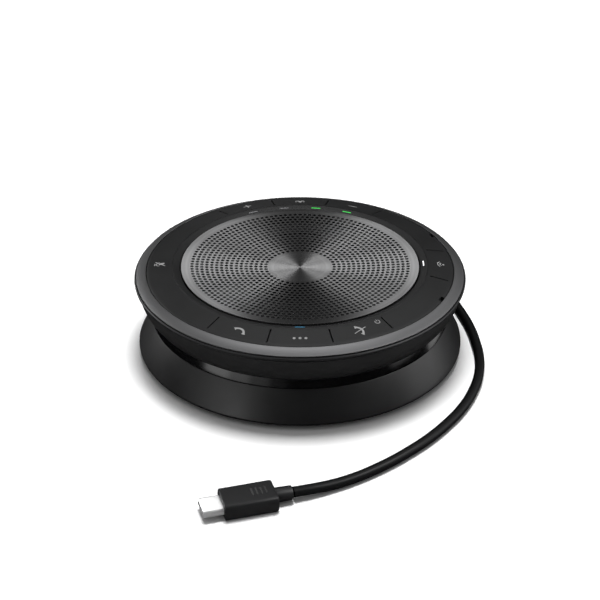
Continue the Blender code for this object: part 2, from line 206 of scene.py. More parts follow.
def noise_node(nodes, links, vector, scale, detail=3.0, roughness=0.55):
    noise = nodes.new("ShaderNodeTexNoise")
    noise.inputs["Scale"].default_value = scale
    noise.inputs["Detail"].default_value = detail
    noise.inputs["Roughness"].default_value = roughness
    links.new(vector, noise.inputs["Vector"])
    return noise.outputs["Fac"]


def spread(nodes, links, value, low, high):
    """A texture value of 0.3 to 0.7 turned into a range."""
    ranged = nodes.new("ShaderNodeMapRange")
    ranged.inputs["From Min"].default_value = 0.3
    ranged.inputs["From Max"].default_value = 0.7
    ranged.inputs["To Min"].default_value = low
    ranged.inputs["To Max"].default_value = high
    links.new(value, ranged.inputs["Value"])
    return ranged.outputs["Result"]


def vary_colour(nodes, links, shader, value, colour, contrast):
    mix = nodes.new("ShaderNodeMix")
    mix.data_type = "RGBA"
    mix.inputs["A"].default_value = (*(channel * (1 - contrast) for channel in colour), 1.0)
    mix.inputs["B"].default_value = (*(channel * (1 + contrast) for channel in colour), 1.0)
    links.new(spread(nodes, links, value, 0.0, 1.0), mix.inputs["Factor"])
    links.new(mix.outputs["Result"], shader.inputs["Base Color"])


def add_bump(nodes, links, shader, value, strength, distance):
    bump = nodes.new("ShaderNodeBump")
    bump.inputs["Strength"].default_value = strength
    bump.inputs["Distance"].default_value = distance
    links.new(value, bump.inputs["Height"])
    links.new(bump.outputs["Normal"], shader.inputs["Normal"])


def moulded(name, colour, roughness, grain=2600.0, depth=0.000012, contrast=0.12, specular=0.5,
            coat=0.0):
    """Moulded plastic, rubber or paint: fine grain in relief, and patches of colour and gloss."""
    material, nodes, links, shader = shader_of(name, colour, roughness)
    place = nodes.new("ShaderNodeTexCoord").outputs["Object"]
    patches = noise_node(nodes, links, place, 90.0, 4.0)
    vary_colour(nodes, links, shader, patches, colour, contrast)
    links.new(spread(nodes, links, patches, roughness * 0.93, roughness * 1.07),
              shader.inputs["Roughness"])
    add_bump(nodes, links, shader, noise_node(nodes, links, place, grain, 2.0), 0.5, depth)
    shader.inputs["Specular IOR Level"].default_value = specular
    shader.inputs["Coat Weight"].default_value = coat
    shader.inputs["Coat Roughness"].default_value = 0.05
    return material


def turned_metal(name, colour, roughness, anisotropy, contrast=0.12, depth=0.000006, lines=5200.0):
    """Metal brushed round its own axis: fine circular lines, and gloss stretched along them."""
    material, nodes, links, shader = shader_of(name, colour, roughness, 1.0)
    place = nodes.new("ShaderNodeTexCoord").outputs["Object"]
    split = nodes.new("ShaderNodeSeparateXYZ")
    links.new(place, split.inputs["Vector"])
    flat = nodes.new("ShaderNodeCombineXYZ")
    links.new(split.outputs["X"], flat.inputs["X"])
    links.new(split.outputs["Y"], flat.inputs["Y"])
    length = nodes.new("ShaderNodeVectorMath")
    length.operation = "LENGTH"
    links.new(flat.outputs["Vector"], length.inputs[0])
    rings = nodes.new("ShaderNodeCombineXYZ")
    links.new(length.outputs["Value"], rings.inputs["X"])
    lathe = noise_node(nodes, links, rings.outputs["Vector"], lines, 2.0, 0.7)
    broad = noise_node(nodes, links, rings.outputs["Vector"], lines / 9, 2.0)
    vary_colour(nodes, links, shader, broad, colour, contrast)
    links.new(spread(nodes, links, lathe, roughness * 0.9, roughness * 1.1),
              shader.inputs["Roughness"])
    add_bump(nodes, links, shader, lathe, 0.35, depth)
    tangent = nodes.new("ShaderNodeTangent")
    tangent.direction_type = "RADIAL"
    tangent.axis = "Z"
    links.new(tangent.outputs["Tangent"], shader.inputs["Tangent"])
    shader.inputs["Anisotropic"].default_value = anisotropy
    return material


def plain_metal(name, colour, roughness, contrast=0.1, grain=1800.0, relief=0.000006, metallic=1.0):
    """Stamped or plated metal with faint scuffs."""
    material, nodes, links, shader = shader_of(name, colour, roughness, metallic)
    place = nodes.new("ShaderNodeTexCoord").outputs["Object"]
    scuffs = noise_node(nodes, links, place, grain, 5.0, 0.65)
    vary_colour(nodes, links, shader, noise_node(nodes, links, place, 240.0), colour, contrast)
    links.new(spread(nodes, links, scuffs, roughness * 0.75, roughness * 1.3),
              shader.inputs["Roughness"])
    add_bump(nodes, links, shader, scuffs, 0.2, relief)
    return material


def light_pipe(name, colour, strength):
    """A milky light pipe, patchy in tone, that glows in its own colour."""
    material, nodes, links, shader = shader_of(name, colour, 0.35)
    place = nodes.new("ShaderNodeTexCoord").outputs["Object"]
    cloud = noise_node(nodes, links, place, 1500.0, 2.0)
    vary_colour(nodes, links, shader, cloud, colour, 0.15)
    shader.inputs["Emission Color"].default_value = (*colour, 1.0)
    shader.inputs["Emission Strength"].default_value = strength
    add_bump(nodes, links, shader, cloud, 0.2, 0.00001)
    return material


def circuit_board(name):
    """Dark solder mask with lighter track patterns under it."""
    colour = (0.006, 0.012, 0.009)
    material, nodes, links, shader = shader_of(name, colour, 0.4)
    place = nodes.new("ShaderNodeTexCoord").outputs["Object"]
    cells = nodes.new("ShaderNodeTexVoronoi")
    cells.distance = "MANHATTAN"
    cells.inputs["Scale"].default_value = 420.0
    links.new(place, cells.inputs["Vector"])
    vary_colour(nodes, links, shader, cells.outputs["Distance"], colour, 0.6)
    add_bump(nodes, links, shader, cells.outputs["Distance"], 0.3, 0.00003)
    return material


LOOKS = {
    "soft_black": moulded("soft_black", (0.012, 0.0123, 0.0127), 0.48, 3400.0, 0.000006, 0.06),
    "matte_black": moulded("matte_black", (0.006, 0.006, 0.0065), 0.42, 3000.0, 0.000008, 0.08),
    "gloss_black": moulded("gloss_black", (0.004, 0.004, 0.0045), 0.16, 700.0, 0.000001, 0.1, 1.0),
    # The upper housing's material is matte_black made lighter: the housing's own black plus painted
    # light on its sides.
    "housing_black": moulded("housing_black", (0.017, 0.017, 0.0175), 0.42, 3000.0, 0.000008, 0.08),
    "bezel_black": moulded("bezel_black", (0.012, 0.0123, 0.0127), 0.48, 3400.0, 0.000006, 0.06),
    "lip_black": moulded("lip_black", (0.014, 0.014, 0.015), 0.5, 3000.0, 0.000006, 0.08, 0.35),
    "brushed_steel": turned_metal("brushed_steel", (0.26, 0.26, 0.265), 0.42, 0.35),
    "grille_metal": turned_metal("grille_metal", (0.78, 0.78, 0.785), 0.46, 0.86),
    "rubber_black": moulded("rubber_black", (0.016, 0.016, 0.017), 0.7, 2200.0, 0.00002, 0.15),
    "cord_black": moulded("cord_black", (0.006, 0.006, 0.0065), 0.45, 2600.0, 0.000008, 0.1, 0.2),
    "plug_black": moulded("plug_black", (0.012, 0.012, 0.013), 0.5, 3000.0, 0.00001, 0.1),
    # plug_metal is only 0.7 metallic, so 30 % of it is diffuse white: painted reflection of a
    # bright sheen, over the plating's own metal.
    "plug_metal": plain_metal("plug_metal", (0.95, 0.95, 0.95), 0.34, 0.02, 260.0, 0.0000002, 0.7),
    "switch_metal": plain_metal("switch_metal", (0.6, 0.6, 0.6), 0.35),
    "screw_steel": plain_metal("screw_steel", (0.45, 0.45, 0.47), 0.3),
    "magnet_steel": plain_metal("magnet_steel", (0.16, 0.16, 0.17), 0.42),
    "cone_paper": moulded("cone_paper", (0.008, 0.008, 0.009), 0.9, 1400.0, 0.00006, 0.3),
    "battery_wrap": moulded("battery_wrap", (0.02, 0.04, 0.11), 0.35, 900.0, 0.00001, 0.1),
    "board_green": circuit_board("board_green"),
    "icon_print": moulded("icon_print", (0.46, 0.46, 0.46), 0.6, 4000.0, 0.000004, 0.05),
    # dark_recess is darker than every black plastic here: painted shade of recesses, over their own
    # black.
    "dark_recess": moulded("dark_recess", (0.002, 0.002, 0.002), 0.9, 1800.0, 0.00001, 0.2),
}


# ---------------------------------------------------------------- shapes

def show(name, mesh, look, body="base", replaces=()):
    """A shown piece that rides on a body and takes its finish from a slot."""
    piece = bpy.data.objects.new(name, mesh)
    bpy.context.scene.collection.objects.link(piece)
    mesh.materials.clear()
    mesh.materials.append(LOOKS[look])
    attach(piece, body)
    if replaces:
        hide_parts(*replaces)
    return piece


def finished_mesh(bm, name, sharp=SHARP_ANGLE):
    bmesh.ops.recalc_face_normals(bm, faces=bm.faces)
    mesh = bpy.data.meshes.new(name)
    bm.to_mesh(mesh)
    bm.free()
    mesh.shade_smooth()
    mesh.set_sharp_from_angle(angle=radians(sharp))
    return mesh


def rounded(corners, segments=4, closed=True):
    """An outline through corners (x, y, radius), each rounded off by its radius."""
    count = len(corners)
    points = []
    for i, (x, y, radius) in enumerate(corners):
        if radius == 0.0 or (not closed and i in (0, count - 1)):
            points.append((x, y))
            continue
        here = Vector((x, y))
        before = Vector(corners[i - 1][:2]) - here
        after = Vector(corners[(i + 1) % count][:2]) - here
        half = before.angle(after) / 2
        reach = min(radius / tan(half), 0.48 * before.length, 0.48 * after.length)
        first = here + before.normalized() * reach
        last = here + after.normalized() * reach
        for step in range(segments + 1):
            t = step / segments
            point = (1 - t) ** 2 * first + 2 * t * (1 - t) * here + t * t * last
            points.append((point.x, point.y))
    return points


def curve_points(start, control, end, count):
    points = []
    for i in range(count + 1):
        t = i / count
        points.append(tuple((1 - t) ** 2 * a + 2 * t * (1 - t) * b + t * t * c
                            for a, b, c in zip(start, control, end)))
    return points


def turned_bmesh(profile, closed, steps=FINE_STEPS):
    bm = bmesh.new()
    verts = [bm.verts.new((r * MM, 0.0, z * MM)) for r, z in profile]
    edges = [bm.edges.new(pair) for pair in zip(verts, verts[1:])]
    if closed:
        edges.append(bm.edges.new((verts[-1], verts[0])))
    bmesh.ops.spin(bm, geom=verts + edges, cent=(0, 0, 0), axis=(0, 0, 1), angle=2 * pi,
                   steps=steps, use_merge=True)
    bmesh.ops.remove_doubles(bm, verts=bm.verts, dist=WELD_DISTANCE)
    return bm


def turned(name, profile, look, node):
    mesh = finished_mesh(turned_bmesh(profile, True), name)
    return show(name, mesh, look, "base", (node,))


def carve(mesh, cutter_mesh):
    """The mesh with a cutter taken out of it."""
    item = bpy.data.objects.new("carve_item", mesh)
    cutter = bpy.data.objects.new("carve_cutter", cutter_mesh)
    for each in (item, cutter):
        bpy.context.scene.collection.objects.link(each)
    boolean = item.modifiers.new("Cut", "BOOLEAN")
    boolean.operation = "DIFFERENCE"
    boolean.solver = "EXACT"
    boolean.object = cutter
    result = bpy.data.meshes.new_from_object(
        item.evaluated_get(bpy.context.evaluated_depsgraph_get()))
    bpy.data.objects.remove(item)
    bpy.data.objects.remove(cutter)
    result.set_sharp_from_angle(angle=radians(SHARP_ANGLE))
    return result


def key_height(radius):
    return HEIGHT - (radius - CREST_RADIUS) * KEY_SLOPE


def bezel_height(radius):
    share = (radius - BEZEL_INNER_RADIUS) / (CREST_RADIUS - BEZEL_INNER_RADIUS)
    return BEZEL_INNER_HEIGHT + (HEIGHT - BEZEL_INNER_HEIGHT) * share


def grille_height(radius):
    return GRILLE_CENTRE_HEIGHT + GRILLE_RISE * (radius / GRILLE_RISE_RADIUS) ** 2


def ring_sector(stations, start, end, bottom):
    """A block between two azimuths. A station is (radius, height, inset of both ends)."""
    columns = max(3, ceil((end - start) / 2.0))
    bm = bmesh.new()
    upper = []
    lower = []
    for radius, height, inset in stations:
        first = radians(start) + inset / radius
        last = radians(end) - inset / radius
        row = []
        under = []
        for column in range(columns + 1):
            angle = first + (last - first) * column / columns
            x, y = radius * cos(angle) * MM, radius * sin(angle) * MM
            row.append(bm.verts.new((x, y, height * MM)))
            under.append(bm.verts.new((x, y, bottom * MM)))
        upper.append(row)
        lower.append(under)
    for grid in (upper, lower):
        for near, far in zip(grid, grid[1:]):
            for j in range(columns):
                bm.faces.new((near[j], far[j], far[j + 1], near[j + 1]))
    walls = [(upper[0], lower[0]), (upper[-1], lower[-1]),
             ([row[0] for row in upper], [row[0] for row in lower]),
             ([row[-1] for row in upper], [row[-1] for row in lower])]
    for top, low in walls:
        for j in range(len(top) - 1):
            bm.faces.new((top[j], top[j + 1], low[j + 1], low[j]))
    return bm


def catmull_rom(route, per_span):
    """Points on a smooth curve through the route's points."""
    points = [Vector(p) for p in route]
    knots = [points[0] * 2 - points[1]] + points + [points[-1] * 2 - points[-2]]
    made = []
    for a, b, c, d in zip(knots, knots[1:], knots[2:], knots[3:]):
        for i in range(per_span):
            t = i / per_span
            made.append(0.5 * (2 * b + (c - a) * t + (2 * a - 5 * b + 4 * c - d) * t * t
                               + (3 * b - a - 3 * c + d) * t ** 3))
    made.append(points[-1])
    return made


# ---------------------------------------------------------------- camera and lead

def make_camera():
    data = bpy.data.cameras.new("camera")
    data.lens = CAMERA_LENS
    data.sensor_width = 36.0
    data.clip_start = 0.01
    camera = bpy.data.objects.new("camera", data)
    bpy.context.scene.collection.objects.link(camera)
    camera.location = CAMERA_PLACE
    camera.rotation_euler = (radians(CAMERA_TILT), 0.0, 0.0)
    bpy.context.scene.camera = camera


def coil_points():
    """Two layers, wound inwards on top and outwards underneath, clockwise from above."""
    outer, inner = COIL_RADII
    upper = CORD_REST + CORD_DIAMETER
    dropped = COIL_LAYER_TURNS + COIL_DROP_TURNS
    turns = dropped + COIL_LAYER_TURNS
    count = round(turns * COIL_POINTS_PER_TURN)
    points = []
    for i in range(count + 1):
        turn = turns * i / count
        if turn < COIL_LAYER_TURNS:
            radius = outer + (inner - outer) * turn / COIL_LAYER_TURNS
            height = upper
        elif turn < dropped:
            radius = inner
            share = (turn - COIL_LAYER_TURNS) / COIL_DROP_TURNS
            height = CORD_REST + (upper - CORD_REST) * (1 + cos(pi * share)) / 2
        else:
            radius = inner + (outer - inner) * (turn - dropped) / COIL_LAYER_TURNS
            height = CORD_REST
        angle = pi - 2 * pi * turn
        points.append(Vector((COIL_CENTRE[0] + radius * cos(angle),
                              COIL_CENTRE[1] + radius * sin(angle), height)))
    return points


def make_lead():
    knots = [Vector(p) for p in LEAD_ROUTE] + coil_points() + [Vector(p) for p in RUN_ROUTE]
    data = bpy.data.curves.new("lead", "CURVE")
    data.dimensions = "3D"
    data.bevel_depth = CORD_DIAMETER / 2 * MM
    data.bevel_resolution = 6
    data.use_fill_caps = True
    data.resolution_u = 6
    spline = data.splines.new("BEZIER")
    spline.bezier_points.add(len(knots) - 1)
    for point, place in zip(spline.bezier_points, knots):
        point.co = place * MM
        point.handle_left_type = "AUTO"
        point.handle_right_type = "AUTO"
    lead = bpy.data.objects.new("lead", data)
    bpy.context.scene.collection.objects.link(lead)
    data.materials.append(LOOKS["cord_black"])
    fine = catmull_rom(knots, 6)
    length = sum((b - a).length for a, b in zip(fine, fine[1:])) * MM
    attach(lead, "base")
    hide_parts("cord_lead", "cord_coil", "cord_run")
    return lead, length


# ---------------------------------------------------------------- shells

def make_shells():
    turned("skirt_shell", rounded([
        (51.0, 13.6, 0.2), (54.1, 13.6, 0.15), (59.42, 2.9, 0.35), (59.35, 2.2, 0.2),
        (57.5, 2.2, 0.2), (57.5, 4.3, 0.2), (52.9, 12.3, 0.3), (51.0, 12.3, 0.2)]),
        "matte_black", "skirt")
    neck = turned("neck_band_gloss", rounded([
        (51.8, 17.4, 0.1), (53.0, 17.4, 0.12), (54.3, 13.95, 0.12), (51.8, 13.95, 0.1)]),
        "gloss_black", "neck_band")
    side = curve_points((59.0, 27.5), (58.4, 21.6), (54.5, 17.7), 24)
    inside = curve_points((52.9, 17.7), (56.6, 21.4), (57.0, 24.9), 12)
    # The upper housing's finish is lighter than matte black: painted light on the housing's sides.
    turned("upper_housing_shell",
           [(57.2, 27.65), (58.85, 27.65)] + side + [(54.25, 17.5), (53.2, 17.5)] + inside
           + [(45.0, 25.0), (45.0, 26.5), (57.2, 26.5)], "housing_black", "upper_housing")
    turned("lip_bead", rounded([
        (57.2, 29.4, 0.1), (59.3, 28.95, 0.1), (59.42, 29.38, 0.06), (59.66, 29.36, 0.12),
        (60.0, 29.0, 0.3), (59.9, 28.4, 0.25), (59.35, 27.95, 0.2), (57.2, 27.95, 0.1)]),
        "lip_black", "lip_ring")
    turned("trim_ring_metal", rounded([
        (55.75, 31.3, 0.0), (55.82, 31.36, 0.03), (59.26, 29.87, 0.04), (59.3, 29.5, 0.05),
        (58.7, 29.4, 0.1), (55.75, 30.4, 0.1)]), "brushed_steel", "trim_ring")
    return neck


def make_bezel():
    profile = rounded([
        (BEZEL_INNER_RADIUS, BEZEL_INNER_HEIGHT, 0.12), (46.02, 32.98, 0.12), (46.2, 32.9, 0.08),
        (46.05, 26.8, 0.1), (40.2, 26.8, 0.1), (40.2, BEZEL_UNDERSIDE, 0.1),
        (BEZEL_INNER_RADIUS, BEZEL_UNDERSIDE, 0.1)])
    mesh = finished_mesh(turned_bmesh(profile, True), "bezel_slope")
    for name, (azimuth, colour, strength) in LIGHTS.items():
        LOOKS[name] = light_pipe(name + "_glow", colour, strength)
        start, end = azimuth - LIGHT_HALF_ARC, azimuth + LIGHT_HALF_ARC
        slot = ring_sector([(LIGHT_RADIUS - 0.2, CUTTER_TOP, -0.03),
                            (LIGHT_RADIUS + 0.2, CUTTER_TOP, -0.03)], start, end, BEZEL_UNDERSIDE)
        mesh = carve(mesh, finished_mesh(slot, name + "_slot"))
        stations = []
        for offset in (-0.18, -0.13, 0.0, 0.13, 0.18):
            radius = LIGHT_RADIUS + offset
            crown = 0.03 if abs(offset) < 0.15 else -0.02
            stations.append((radius, bezel_height(radius) + crown, 0.0))
        pipe = ring_sector(stations, start, end, BEZEL_UNDERSIDE + 0.02)
        show(name + "_lens", finished_mesh(pipe, name), name, "base", (name,))
    show("bezel_slope", mesh, "bezel_black", "base", ("bezel_ring",))


def key_stations():
    """The rows of a key from its inner to its outer edge. Neighbours all but touch at both edges,
    and the slot between is widest just outside the inner one."""
    touch = 0.012
    slot = 0.25
    pocket = 0.36
    rows = [(46.27, -0.03, touch), (46.45, 0.0, touch), (47.42, 0.0, touch), (47.5, 0.0, pocket),
            (48.0, 0.0, pocket), (48.1, 0.0, slot), (53.9, 0.0, slot), (53.98, 0.0, touch),
            (55.36, 0.0, touch), (55.44, -0.04, touch), (55.47, -0.2, touch)]
    return [(r, key_height(r) + drop, inset) for r, drop, inset in rows]


def make_keys():
    for name, (start, end) in KEYS.items():
        mesh = finished_mesh(ring_sector(key_stations(), start, end, KEY_UNDERSIDE), name, 40.0)
        show(name + "_cap", mesh, "soft_black", name + "_body", (name,))
    for name, (start, end) in PANELS.items():
        side = 1 if start > 0 else -1
        mesh = finished_mesh(ring_sector(key_stations(), start, end, KEY_UNDERSIDE), name, 40.0)
        half = degrees(MIC_NOTCH_HALF_WIDTH / MIC_NOTCH_RADIUS)
        notch = ring_sector([(54.2, CUTTER_TOP, 0.0), (56.5, CUTTER_TOP, 0.0)],
                            side * MIC_AZIMUTH - half, side * MIC_AZIMUTH + half, 29.0)
        mesh = carve(mesh, finished_mesh(notch, name + "_notch"))
        show(name + "_cover", mesh, "soft_black", "base", (name,))


# ---------------------------------------------------------------- grille

def near_hole(x, y):
    """True inside a hole: the nearest place on the nearest ring of holes."""
    radius = hypot(x, y)
    ring = min(max(round(radius / HOLE_PITCH), FIRST_RING), LAST_RING)
    step = 2 * pi / (6 * ring)
    angle = round(Vector((1, 0)).angle_signed(Vector((x, y))) / step) * step if radius else 0.0
    centre = Vector((ring * HOLE_PITCH * cos(angle), -ring * HOLE_PITCH * sin(angle)))
    return (Vector((x, y)) - centre).length < HOLE_RADIUS * 0.97


def wedge_triangles(inner, outer):
    """One sixth of the perforated ring, as flat points and triangles."""
    offset = pi * HOLE_PITCH / 6
    first_inner = Vector((sqrt(inner ** 2 - offset ** 2), offset))
    first_outer = Vector((sqrt(outer ** 2 - offset ** 2), offset))
    turn = Matrix.Rotation(pi / 3, 2)
    spokes = 22
    arcs_in, arcs_out = 10, 30
    spoke = [first_inner.lerp(first_outer, i / spokes) for i in range(spokes + 1)]
    outer_arc = [Matrix.Rotation(pi / 3 * i / arcs_out, 2) @ first_outer
                 for i in range(1, arcs_out)]
    far_spoke = [turn @ p for p in reversed(spoke)]
    inner_arc = [Matrix.Rotation(pi / 3 * i / arcs_in, 2) @ first_inner
                 for i in range(arcs_in - 1, 0, -1)]
    points = spoke + outer_arc + far_spoke + inner_arc
    edges = [(i, (i + 1) % len(points)) for i in range(len(points))]
    border = list(range(len(points)))
    for ring in range(FIRST_RING, LAST_RING + 1):
        for index in range(1, ring + 1):
            angle = index * pi / 3 / ring
            centre = Vector((cos(angle), sin(angle))) * ring * HOLE_PITCH
            start = len(points)
            for side in range(HOLE_SIDES):
                around = angle + 2 * pi * side / HOLE_SIDES
                points.append(centre + HOLE_RADIUS * Vector((cos(around), sin(around))))
                edges.append((start + side, start + (side + 1) % HOLE_SIDES))
    flat, _, faces, *_ = delaunay_2d_cdt(points, edges, [border], 1, 0.00001)
    kept = []
    for face in faces:
        middle = sum((flat[i] for i in face), Vector((0, 0))) / len(face)
        if not near_hole(middle.x, middle.y):
            kept.append(face)
    return flat, kept


def loop_at(bm, radius):
    """The vertices at a radius, in order round the axis."""
    found = [v for v in bm.verts if abs(hypot(v.co.x, v.co.y) - radius * MM) < LOOP_TOLERANCE]
    return sorted(found, key=lambda v: Vector((1, 0)).angle_signed(Vector((v.co.x, v.co.y))))


def add_rings(bm, loop, rings):
    """Rings of faces from a loop to further radii and heights; radius 0 closes it."""
    for radius, height in rings:
        if radius == 0.0:
            tip = bm.verts.new((0.0, 0.0, height * MM))
            for a, b in zip(loop, loop[1:] + loop[:1]):
                bm.faces.new((a, b, tip))
            return
        further = []
        for v in loop:
            share = radius * MM / hypot(v.co.x, v.co.y)
            further.append(bm.verts.new((v.co.x * share, v.co.y * share, height * MM)))
        for i in range(len(loop)):
            j = (i + 1) % len(loop)
            bm.faces.new((loop[i], loop[j], further[j], further[i]))
        loop = further


def make_grille():
    inner = (FIRST_RING - HOLE_MARGIN) * HOLE_PITCH
    outer = (LAST_RING + HOLE_MARGIN) * HOLE_PITCH
    flat, faces = wedge_triangles(inner, outer)
    bm = bmesh.new()
    for sixth in range(6):
        turn = Matrix.Rotation(sixth * pi / 3, 2)
        verts = []
        for point in flat:
            place = turn @ Vector(point)
            verts.append(bm.verts.new((place.x * MM, place.y * MM,
                                       grille_height(place.length) * MM)))
        for face in faces:
            bm.faces.new([verts[i] for i in face])
    bmesh.ops.remove_doubles(bm, verts=bm.verts, dist=GRILLE_WELD_DISTANCE)
    add_rings(bm, loop_at(bm, inner), [(r, grille_height(r)) for r in (8.0, 5.0, 2.5, 1.0, 0.0)])
    edge = GRILLE_RADIUS - GRILLE_RIM_WIDTH
    top = grille_height(edge)
    add_rings(bm, loop_at(bm, outer), [
        (41.4, grille_height(41.4)), (edge + 0.4, top + 0.03), (edge + 0.66, top + 0.03),
        (edge + 0.69, top), (edge + 0.69, top - 0.4)])
    mesh = finished_mesh(bm, "grille_open", GRILLE_SHARP_ANGLE)
    if mesh.polygons[0].normal.z < 0:
        mesh.flip_normals()
    holder = bpy.data.objects.new("grille_holder", mesh)
    bpy.context.scene.collection.objects.link(holder)
    thick = holder.modifiers.new("Thickness", "SOLIDIFY")
    thick.thickness = GRILLE_THICKNESS * MM
    thick.offset = -1.0
    solid = bpy.data.meshes.new_from_object(
        holder.evaluated_get(bpy.context.evaluated_depsgraph_get()))
    bpy.data.objects.remove(holder)
    solid.shade_smooth()
    solid.set_sharp_from_angle(angle=radians(GRILLE_SHARP_ANGLE))
    return show("grille_perforated", solid, "grille_metal", "base", ("grille",))


# ---------------------------------------------------------------- icons

def disc(x, y, radius, sides=24):
    return [(x + radius * cos(2 * pi * i / sides), y + radius * sin(2 * pi * i / sides))
            for i in range(sides)]


def arc(x, y, radius, start, end, count=16):
    return [(x + radius * cos(radians(start + (end - start) * i / count)),
             y + radius * sin(radians(start + (end - start) * i / count)))
            for i in range(count + 1)]


def ribbon(points, width, end_width=None):
    """A line of a width as an outline, with its width growing to end_width at both ends."""
    left, right = [], []
    count = len(points) - 1
    for i, point in enumerate(points):
        ahead = Vector(points[min(i + 1, count)]) - Vector(points[max(i - 1, 0)])
        across = Vector((-ahead.y, ahead.x)).normalized()
        share = abs(2 * i / count - 1) ** 6 if end_width else 0.0
        half = (width + ((end_width or width) - width) * share) / 2
        left.append(tuple(Vector(point) + across * half))
        right.append(tuple(Vector(point) - across * half))
    return left + right[::-1]


def turned_outline(outline, degrees):
    turn = Matrix.Rotation(radians(degrees), 2)
    return [tuple(turn @ Vector(p)) for p in outline]


def handset(turn):
    return [turned_outline(ribbon(arc(0, -1.6, 2.3, 158, 22, 24), 0.7, 1.45), turn)]


# Signs: the key, the azimuth and radius of the middle, and the outlines.
ICONS = {
    "icon_answer": ("key_answer", 246.6, 50.5, handset(-26)),
    "icon_menu": ("key_menu", 270.0, 51.1, [
        disc(-1.97, 0, 0.5), disc(0, 0, 0.5), disc(1.97, 0, 0.5)]),
    "icon_end": ("key_end_call", 293.75, 50.4, handset(-73)
                 + [ribbon([(-2.4, -1.0), (2.4, 1.0)], 0.3)]),
    "icon_power": ("key_end_call", 302.6, 48.8, [ribbon(arc(0, 0, 0.85, 130, 410), 0.26),
                                                 ribbon([(0, 0.25), (0, 1.1)], 0.26)]),
    "icon_mute": ("key_mute", 180.0, 50.6, [
        ribbon([(0, -0.5), (0, 1.5)], 1.1), ribbon(arc(0, -0.2, 1.25, 180, 360), 0.28),
        ribbon([(0, -1.45), (0, -2.1)], 0.28), ribbon([(-0.8, -2.1), (0.8, -2.1)], 0.28),
        ribbon([(-1.9, -1.9), (1.9, 1.9)], 0.3)]),
    "icon_wireless": ("key_wireless", 0.0, 50.8, [
        disc(0, -1.1, 0.38), ribbon(arc(0, -1.1, 1.2, 35, 145), 0.32),
        ribbon(arc(0, -1.1, 2.1, 35, 145), 0.32)]),
    "icon_volume_up": ("key_volume_up", 113.75, 50.7, [
        ribbon([(-1.6, 0), (1.6, 0)], 0.42), ribbon([(0, -1.6), (0, 1.6)], 0.42)]),
    "icon_volume_down": ("key_volume_down", 66.25, 50.7, [ribbon([(-1.7, 0), (1.7, 0)], 0.42)]),
    "icon_link": ("key_link", 90.0, 50.6, [
        disc(0, 0.75, 0.55), ribbon(arc(0, -1.1, 0.9, 0, 180), 0.7),
        ribbon(arc(0, 0.0, 1.6, -40, 40), 0.26), ribbon(arc(0, 0.0, 1.6, 140, 220), 0.26)]),
}


def make_icons():
    """Printed signs on the key caps, upright as seen from outside the ring."""
    for name, (key, azimuth, radius, outlines) in ICONS.items():
        angle = radians(azimuth)
        across = Vector((-sin(angle), cos(angle), 0.0))
        inward = Vector((-cos(angle), -sin(angle), KEY_SLOPE)).normalized()
        up = across.cross(inward)
        origin = Vector((radius * cos(angle), radius * sin(angle), key_height(radius)))
        bm = bmesh.new()
        for layer, outline in enumerate(outlines):
            rise = PRINT_HEIGHT + PRINT_LAYER_STEP * layer
            base = [bm.verts.new((origin + across * x + inward * y - up * PRINT_ROOT) * MM)
                    for x, y in outline]
            face = bm.faces.new(base)
            raised = bmesh.ops.extrude_face_region(bm, geom=[face])["geom"]
            bmesh.ops.translate(bm, vec=up * (rise + PRINT_ROOT) * MM,
                                verts=[v for v in raised if isinstance(v, bmesh.types.BMVert)])
        bmesh.ops.triangulate(bm, faces=bm.faces)
        show(name, finished_mesh(bm, name), "icon_print", key + "_body", ())


# ---------------------------------------------------------------- plug, clip, feet

def placed(point):
    """A point given along, across and above the plug's middle, in the object's frame and metres."""
    turn = Matrix.Rotation(radians(PLUG_AZIMUTH), 3, "Z")
    return (turn @ Vector(point) + Vector(PLUG_CENTRE)) * MM


def loft(sections, name, look, replaces, caps=True):
    """A solid through closed sections, each a list of points from the plug's middle."""
    bm = bmesh.new()
    rows = [[bm.verts.new(placed(p)) for p in section] for section in sections]
    for near, far in zip(rows, rows[1:]):
        for i in range(len(near)):
            j = (i + 1) % len(near)
            bm.faces.new((near[i], near[j], far[j], far[i]))
    if caps:
        bm.faces.new(rows[0][::-1])
        bm.faces.new(rows[-1])
    return show(name, finished_mesh(bm, name, 35.0), look, "base", replaces)


def plug_section(x, width, height, radius, segments=8):
    half_w, half_h = width / 2, height / 2
    outline = rounded([(-half_w, -half_h, radius), (half_w, -half_h, radius),
                       (half_w, half_h, radius), (-half_w, half_h, radius)], segments)
    return [(x, y, z) for y, z in outline]


